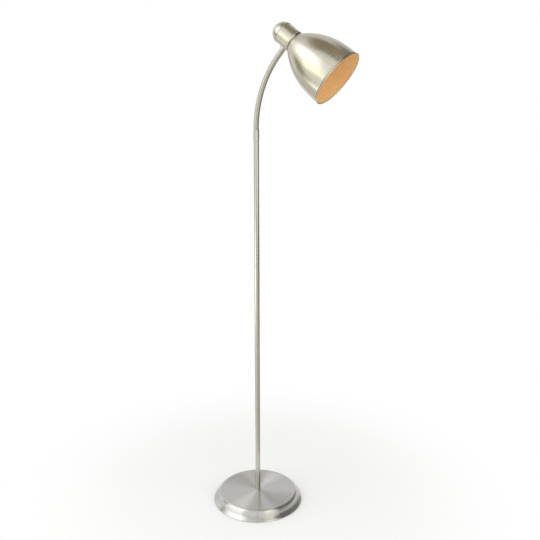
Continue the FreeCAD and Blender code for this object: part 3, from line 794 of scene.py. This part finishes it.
def bright_brass():
    """Pressed brass: yellow, bright, with faint drawing marks."""
    material, tree = new_material("bright_brass")
    mark_spacing = 0.0007
    place = add_node(tree, "ShaderNodeTexCoord")
    marks = add_node(tree, "ShaderNodeTexNoise", {
        "Vector": place.outputs["Object"], "Scale": 1 / mark_spacing, "Detail": 2})
    colour = add_node(tree, "ShaderNodeValToRGB", {"Fac": marks.outputs["Fac"]})
    colour.color_ramp.elements[0].color = linear("#C9A24E")
    colour.color_ramp.elements[1].color = linear("#DDBB6C")
    finish_material(tree, add_node(tree, "ShaderNodeBsdfPrincipled", {
        "Base Color": colour.outputs["Color"], "Metallic": 1, "Roughness": 0.25}))
    return material


dress(["shade_ring", "lampholder_body", "lampholder_cap"], black_moulding())
dress(["lampholder_shell", "lampholder_contact", "terminal_screws"], bright_brass())


# ---- Bulb --------------------------------------------------------------------------------
# An opal glass globe on a pressed aluminium screw cap, closed below by black glass round a
# tinned contact.
def opal_glass():
    """Opal glass: white all through, with a smooth fired gloss."""
    material, tree = new_material("opal_glass")
    cloud_size = 0.02
    place = add_node(tree, "ShaderNodeTexCoord")
    clouds = add_node(tree, "ShaderNodeTexNoise", {
        "Vector": place.outputs["Object"], "Scale": 1 / cloud_size, "Detail": 1})
    colour = add_node(tree, "ShaderNodeValToRGB", {"Fac": clouds.outputs["Fac"]})
    colour.color_ramp.elements[0].color = linear("#EFEDE6")
    colour.color_ramp.elements[1].color = linear("#F6F5F0")
    finish_material(tree, add_node(tree, "ShaderNodeBsdfPrincipled", {
        "Base Color": colour.outputs["Color"], "Roughness": 0.12, "IOR": 1.5,
        "Subsurface Weight": 0.3, "Subsurface Scale": 0.004}))
    return material


def pressed_metal(name, pale, deep, roughness):
    """Thin pressed metal with faint drawing marks."""
    material, tree = new_material(name)
    mark_spacing = 0.0009
    place = add_node(tree, "ShaderNodeTexCoord")
    marks = add_node(tree, "ShaderNodeTexNoise", {
        "Vector": place.outputs["Object"], "Scale": 1 / mark_spacing, "Detail": 2})
    colour = add_node(tree, "ShaderNodeValToRGB", {"Fac": marks.outputs["Fac"]})
    colour.color_ramp.elements[0].color = linear(deep)
    colour.color_ramp.elements[1].color = linear(pale)
    finish_material(tree, add_node(tree, "ShaderNodeBsdfPrincipled", {
        "Base Color": colour.outputs["Color"], "Metallic": 1, "Roughness": roughness}))
    return material


dress(["bulb_glass"], opal_glass())
dress(["bulb_cap"], pressed_metal("pressed_aluminium", "#E2E3E4", "#D2D3D5", roughness=0.3))
dress(["bulb_contact"], pressed_metal("tinned_contact", "#C4C4C0", "#A9A9A6", roughness=0.35))
dress(["bulb_insulator"], black_moulding())


# ---- Studio ------------------------------------------------------------------------------
# A pale floor under a white sky, with soft lamps at the left and at the right. Grey and
# tinted boards, which only the metal sees, give it its bands.
def studio_floor():
    """Matt white floor that fades into the white background away from the lamp."""
    material, tree = new_material("studio_floor")
    fade_start = 0.25
    fade_end = 0.7
    place = add_node(tree, "ShaderNodeTexCoord")
    distance = add_node(tree, "ShaderNodeVectorMath", {0: place.outputs["Object"]}, operation="LENGTH")
    share = add_node(tree, "ShaderNodeMapRange", {
        "Value": distance.outputs["Value"], "From Min": fade_start, "From Max": fade_end},
        interpolation_type="SMOOTHSTEP")
    matt = add_node(tree, "ShaderNodeBsdfDiffuse", {"Color": linear("#F8F8F8")})
    white = add_node(tree, "ShaderNodeEmission", {"Color": (1, 1, 1, 1), "Strength": 1})
    finish_material(tree, add_node(tree, "ShaderNodeMixShader", {
        "Fac": share.outputs["Result"], 1: matt.outputs[0], 2: white.outputs[0]}))
    return material


floor_size = 30
floor_mesh = bpy.data.meshes.new("studio_floor")
half = floor_size / 2
floor_corners = [(-half, -half, 0), (half, -half, 0), (half, half, 0), (-half, half, 0)]
floor_mesh.from_pydata(floor_corners, [], [(0, 1, 2, 3)])
floor_mesh.materials.append(studio_floor())
floor = bpy.data.objects.new("studio_floor", floor_mesh)
bpy.context.scene.collection.objects.link(floor)
floor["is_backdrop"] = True

world = bpy.data.worlds.new("studio")
world.use_nodes = True
bpy.context.scene.world = world
sky = world.node_tree
sky.nodes.clear()
ray = add_node(sky, "ShaderNodeLightPath")
mirrored = add_node(sky, "ShaderNodeMath", {
    0: ray.outputs["Is Glossy Ray"], 1: ray.outputs["Is Transmission Ray"]}, operation="MAXIMUM")
seen = add_node(sky, "ShaderNodeMath", {
    0: ray.outputs["Is Camera Ray"], 1: mirrored.outputs[0]}, operation="MAXIMUM")
strength = add_node(sky, "ShaderNodeMapRange", {"Value": seen.outputs[0], "To Min": 0.78, "To Max": 1.0})
background = add_node(sky, "ShaderNodeBackground", {
    "Color": (1, 1, 1, 1), "Strength": strength.outputs["Result"]})
add_node(sky, "ShaderNodeOutputWorld", {"Surface": background.outputs[0]})


def aimed(place, target):
    """Placement of a lamp or a board at a place, facing a target."""
    away = (Vector(place) - Vector(target)).normalized()
    return Matrix.Translation(place) @ away.to_track_quat("Z", "Y").to_matrix().to_4x4()


def add_softbox(name, place, target, width, height, power, colour):
    """A soft rectangular lamp."""
    lamp = bpy.data.lights.new(name, "AREA")
    lamp.shape = "RECTANGLE"
    lamp.size = width
    lamp.size_y = height
    lamp.energy = power
    lamp.color = linear(colour)[:3]
    softbox = bpy.data.objects.new(name, lamp)
    softbox.matrix_world = aimed(place, target)
    bpy.context.scene.collection.objects.link(softbox)
    return softbox


def add_board(name, place, target, width, height, colour):
    """A flat board that shows only as a reflection in the metal."""
    material, tree = new_material(name)
    finish_material(tree, add_node(tree, "ShaderNodeEmission", {"Color": linear(colour)}))
    mesh = bpy.data.meshes.new(name)
    x = width / 2
    y = height / 2
    mesh.from_pydata([(-x, -y, 0), (x, -y, 0), (x, y, 0), (-x, y, 0)], [], [(0, 1, 2, 3)])
    mesh.transform(aimed(place, target))
    mesh.materials.append(material)
    board = bpy.data.objects.new(name, mesh)
    bpy.context.scene.collection.objects.link(board)
    board.visible_camera = False
    board.visible_diffuse = False
    board.visible_shadow = False
    board.visible_transmission = False
    board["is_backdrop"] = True


view_turn = math.radians(29.8)


def around(turn, distance, height):
    """A place round the pole: the turn is in degrees from the camera's side, right-handed."""
    angle = view_turn + math.radians(turn)
    return (distance * math.sin(angle), -distance * math.cos(angle), height)


add_softbox("softbox_upper_left", around(-75, 1.9, 2.65), (0, 0, 2.2), 2.9, 1.5, 16.8, "#E9F0FF")
add_softbox("softbox_lower_left", around(-62, 1.9, 1.5), (0, 0, 1.5), 1.4, 0.8, 4.0, "#F6FFD0")
add_softbox("softbox_low", around(-66, 1.2, 0.2), (0, 0, 0.2), 1.2, 0.36, 2.2, "#FFFFF2")
add_softbox("softbox_right", around(33, 1.9, 1.3), (0, 0, 1.3), 0.9, 2.2, 4.4, "#FFF8C8")
fill = add_softbox("softbox_fill", around(68, 2.1, 2.0), (0.2, 0, 1.1), 0.8, 0.8, 8, "#FFFFF0")
fill.visible_glossy = False
add_board("board_camera", around(0, 2.6, 0.9), (0, 0, 0.9), 0.1, 1.8, "#4A4A48")
add_board("board_back", around(180, 1.7, 2.2), (0, 0, 2.2), 3.4, 4.4, "#E6E5E4")
add_board("board_above", (0.11, 0.12, 3.0), (0.11, 0.12, 0), 1.8, 1.75, "#988D79")
add_board("board_right", around(103, 1.6, 2.0), (0, 0, 2.0), 3.3, 4.0, "#757370")
add_board("board_right_low", around(103, 1.58, 0.46), (0, 0, 0.46), 2.6, 0.3, "#A6A49E")
add_board("board_floor_right", around(100, 1.5, 0.004), around(100, 1.5, 3), 1.9, 2.3, "#A8A6A0")
add_board("board_right_foot", around(95, 1.5, 0.13), (0, 0, 0.13), 2.2, 0.26, "#3E3D3B")
add_board("board_floor_front", around(0, 2.2, 0.004), around(0, 2.2, 3), 2.6, 3.3, "#D6CEC4")
add_board("board_left", around(-100, 2.0, 0.9), (0, 0, 0.9), 0.9, 1.0, "#8E8664")
add_board("board_floor_left", around(-100, 1.9, 0.004), around(-100, 1.9, 3), 2.8, 2.8, "#DCDBD8")

camera_data = bpy.data.cameras.new("camera")
camera_data.lens = 60
camera_data.sensor_width = 36
camera = bpy.data.objects.new("camera", camera_data)
bpy.context.scene.collection.objects.link(camera)
bpy.context.scene.camera = camera
view_tilt = math.radians(18.6)
view_distance = 2.066
view_offset = 0.0316
view_height = 1.3306
backward = Vector((math.sin(view_turn), -math.cos(view_turn), 0))
rightward = Vector((math.cos(view_turn), math.sin(view_turn), 0))
camera.location = backward * view_distance + rightward * view_offset + Vector((0, 0, view_height))
camera.rotation_euler = (math.radians(90) - view_tilt, 0, view_turn)
bpy.context.scene.view_settings.view_transform = "Standard"


# ---- Sizes -------------------------------------------------------------------------------
# The box of the dressed lamp, leaving out the floor, the boards and hidden pieces.
low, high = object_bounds()
